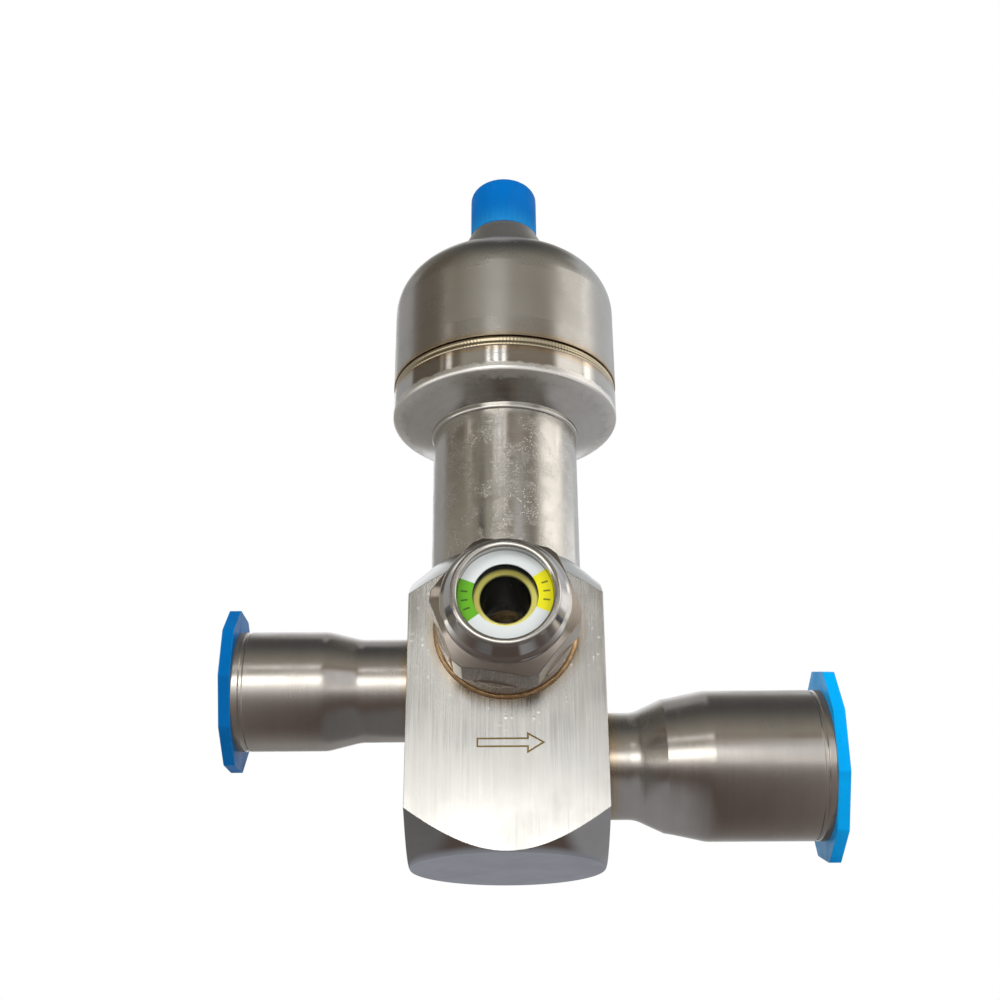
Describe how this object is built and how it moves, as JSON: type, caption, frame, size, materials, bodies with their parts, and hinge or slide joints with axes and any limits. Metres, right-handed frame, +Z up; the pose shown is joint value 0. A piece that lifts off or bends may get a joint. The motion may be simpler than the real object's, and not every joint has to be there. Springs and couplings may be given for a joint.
{
  "type": "electronic expansion valve",
  "caption": "Stepper-driven refrigerant expansion valve with an in-line square body, two stub pipe sockets, a sight glass and a capped round connector on a welded motor can.",
  "frame": {"origin": "centre of the body's flat foot", "axes": "+Z up the motor's axis, +X along the flow from the inlet pipe to the outlet pipe, -Y out through the sight glass"},
  "size_m": [0.1272, 0.0677, 0.1689],
  "materials": {
    "body_steel": "satin brushed steel",
    "pipe_steel": "drawn stainless, heat tinted near the body",
    "column_steel": "fine turned stainless",
    "housing_steel": "bright turned stainless",
    "can_steel": "satin drawn stainless",
    "weld": "straw-tinted weld",
    "braze": "copper braze",
    "plug_blue": "soft glossy plastic",
    "cap_blue": "soft glossy plastic",
    "fitting_steel": "bright turned fitting",
    "glass": "clear glass",
    "dial": "printed ring with coloured sectors",
    "element": "moisture-sensitive paper",
    "seal": "filled fluoropolymer",
    "bronze": "bearing bronze",
    "inner_steel": "machined steel",
    "ball_steel": "polished balls",
    "lamination": "laminated electrical steel",
    "magnet": "sintered magnet",
    "enamel_copper": "enamelled copper winding",
    "alloy": "die-cast end frame",
    "lead_cover": "insulated lead",
    "gold_pin": "gold-plated pin",
    "insert_black": "moulded insert"
  },
  "bodies": {
    "valve": {"valve_body": "body_steel", "inlet_pipe": "pipe_steel", "outlet_pipe": "pipe_steel", "column_tube": "column_steel", "lower_housing": "housing_steel", "weld_bead": "weld", "motor_can": "can_steel", "connector_shell": "housing_steel", "connector_insert": "insert_black", "contact_pins": "gold_pin", "sight_glass_holder": "fitting_steel", "sight_braze_ring": "braze", "moisture_element": "element", "element_spacer": "insert_black", "sight_glass": "glass", "indicator_dial": "dial", "seat_ring": "inner_steel", "seat_seal": "seal", "piston_guide": "bronze", "piston_ring": "seal", "key_tube": "inner_steel", "lower_bearing_outer": "inner_steel", "lower_bearing_balls": "ball_steel", "upper_bearing_outer": "inner_steel", "upper_bearing_balls": "ball_steel", "stator_stack": "lamination", "motor_coils": "enamel_copper", "end_frame": "alloy", "motor_screws": "inner_steel", "preload_spring": "inner_steel", "winding_leads": "lead_cover"},
    "rotor": {"spindle": "inner_steel", "retaining_clip": "inner_steel", "lower_bearing_inner": "inner_steel", "upper_bearing_inner": "inner_steel", "rotor_lower_stack": "lamination", "rotor_magnet": "magnet", "rotor_upper_stack": "lamination"},
    "piston": {"piston": "inner_steel", "drive_nut": "bronze"},
    "inlet_plug": {"inlet_plug": "plug_blue"},
    "outlet_plug": {"outlet_plug": "plug_blue"},
    "connector_cap": {"connector_cap": "cap_blue"}
  },
  "joints": [
    {"name": "rotor_turn", "type": "hinge", "parent": "valve", "child": "rotor", "pos_m": [0, 0, 0.1], "axis": [0, 0, 1], "range_deg": [0, 2340]},
    {"name": "piston_lift", "type": "slide", "parent": "valve", "child": "piston", "axis": [0, 0, 1], "range_m": [0, 0.01301]},
    {"name": "inlet_plug_slide", "type": "slide", "parent": "valve", "child": "inlet_plug", "axis": [-1, 0, 0], "range_m": [0, 0.045]},
    {"name": "outlet_plug_slide", "type": "slide", "parent": "valve", "child": "outlet_plug", "axis": [1, 0, 0], "range_m": [0, 0.045]},
    {"name": "cap_slide", "type": "slide", "parent": "valve", "child": "connector_cap", "axis": [0, 0, 1], "range_m": [0, 0.03]}
  ],
  "couplings": [
    {"joint": "piston_lift", "follows": "rotor_turn", "m_per_rad": 0.00031831}
  ]
}
